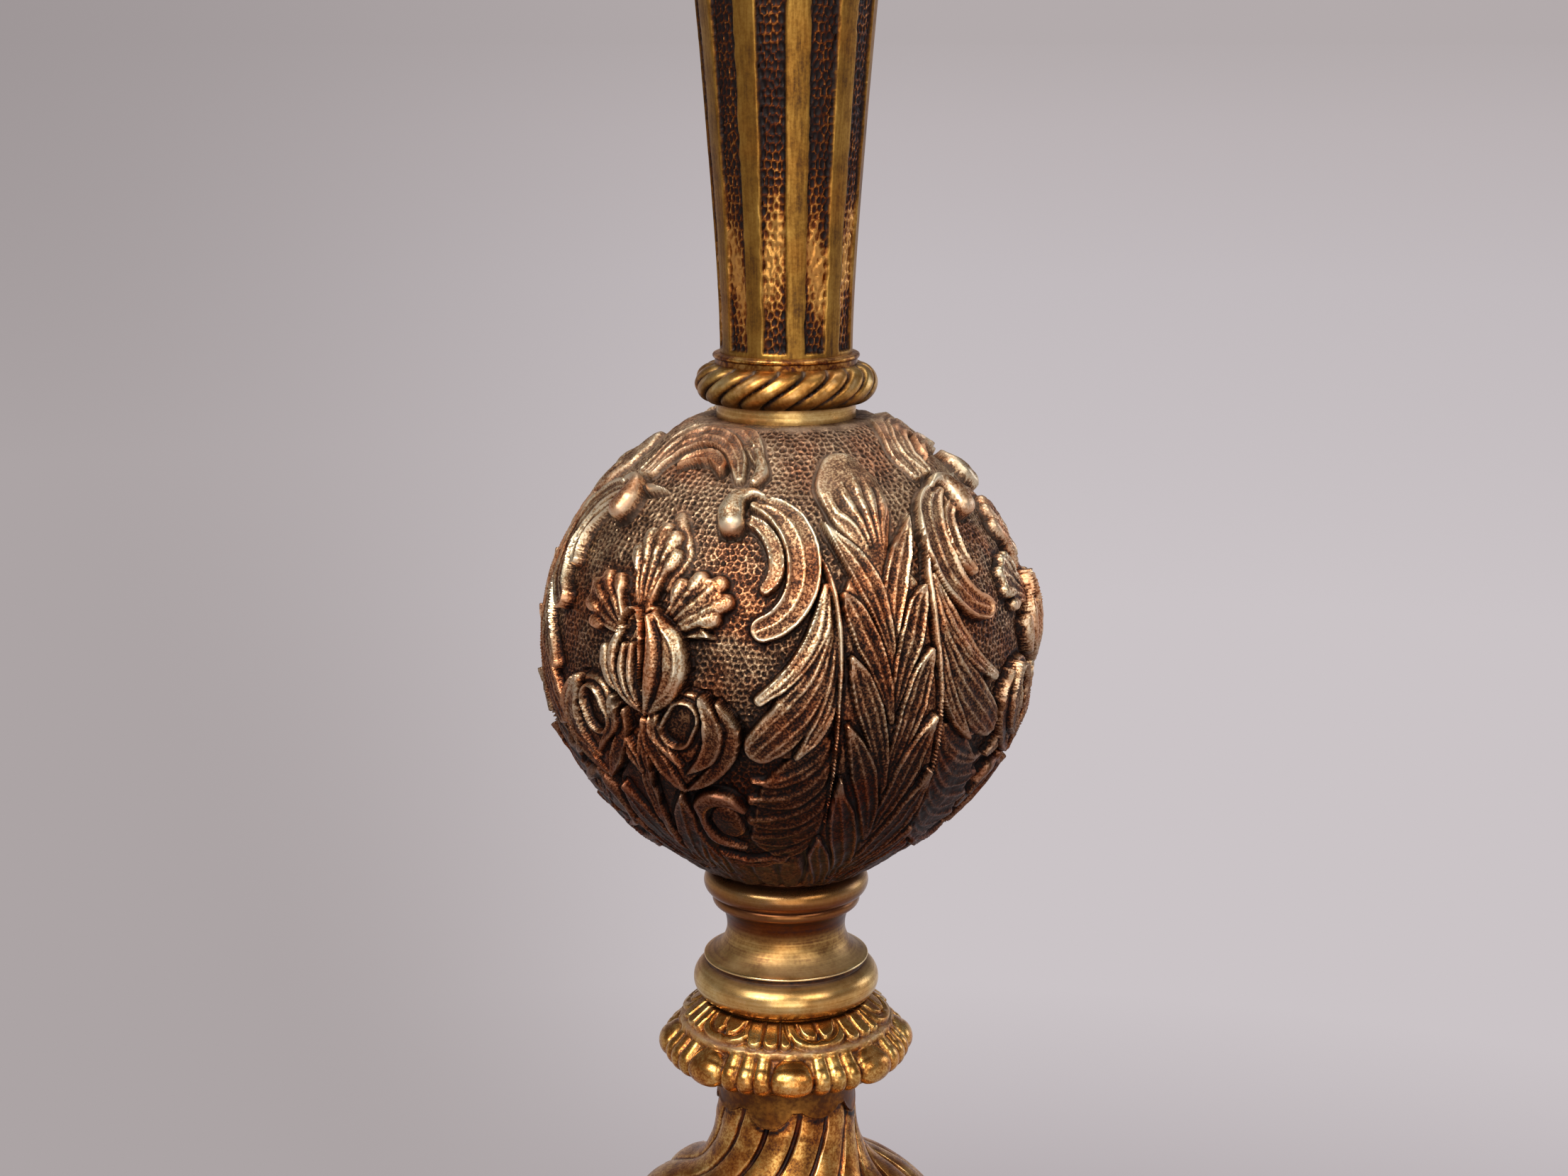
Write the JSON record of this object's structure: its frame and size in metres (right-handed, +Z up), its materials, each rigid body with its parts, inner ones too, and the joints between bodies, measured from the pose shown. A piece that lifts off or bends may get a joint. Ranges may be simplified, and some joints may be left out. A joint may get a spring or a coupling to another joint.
{
  "type": "torchere candle stand",
  "caption": "Tall floor candle stand: round domed foot, spiral bulb, gadrooned disc, ball with raised leaves, rope ring, tapered fluted shaft, drip pan and candle cup.",
  "frame": {"origin": "on the floor, on the axis of the stem", "axes": "+Z up the stem; -Y is the side seen in the picture"},
  "size_m": [0.33, 0.33, 1.3164],
  "materials": {
    "gilt": "worn gilding over polished brass, dark in the grooves",
    "brass": "satin brass, aged",
    "dark_brass": "brown patina with worn pale edges",
    "steel": "plain steel",
    "iron": "black cast iron"
  },
  "bodies": {
    "stand": {"foot_1": "brass", "foot_2": "brass", "foot_3": "brass", "foot_studs": "steel", "ballast_plate": "iron", "bottom_washer": "steel", "bottom_nut": "steel", "plinth": "brass", "base_border": "gilt", "base_dome": "brass", "base_ring": "gilt", "base_spool": "brass", "base_rope_ring": "gilt", "bulb_cup": "brass", "spiral_bulb": "gilt", "lappet_collar": "dark_brass", "gadroon_disc": "gilt", "spool": "brass", "ball": "dark_brass", "ball_collar": "gilt", "rope_ring": "gilt", "shaft_ring": "gilt", "fluted_shaft": "brass", "upper_rope_ring": "gilt", "capital": "brass", "lock_washer": "steel", "lock_nut": "steel", "candle_cup": "gilt", "tie_rod": "steel"},
    "pan": {"drip_pan": "brass"}
  },
  "joints": [
    {"name": "pan_lift", "type": "slide", "parent": "stand", "child": "pan", "axis": [0, 0, 1], "range_m": [0, 0.09]}
  ]
}
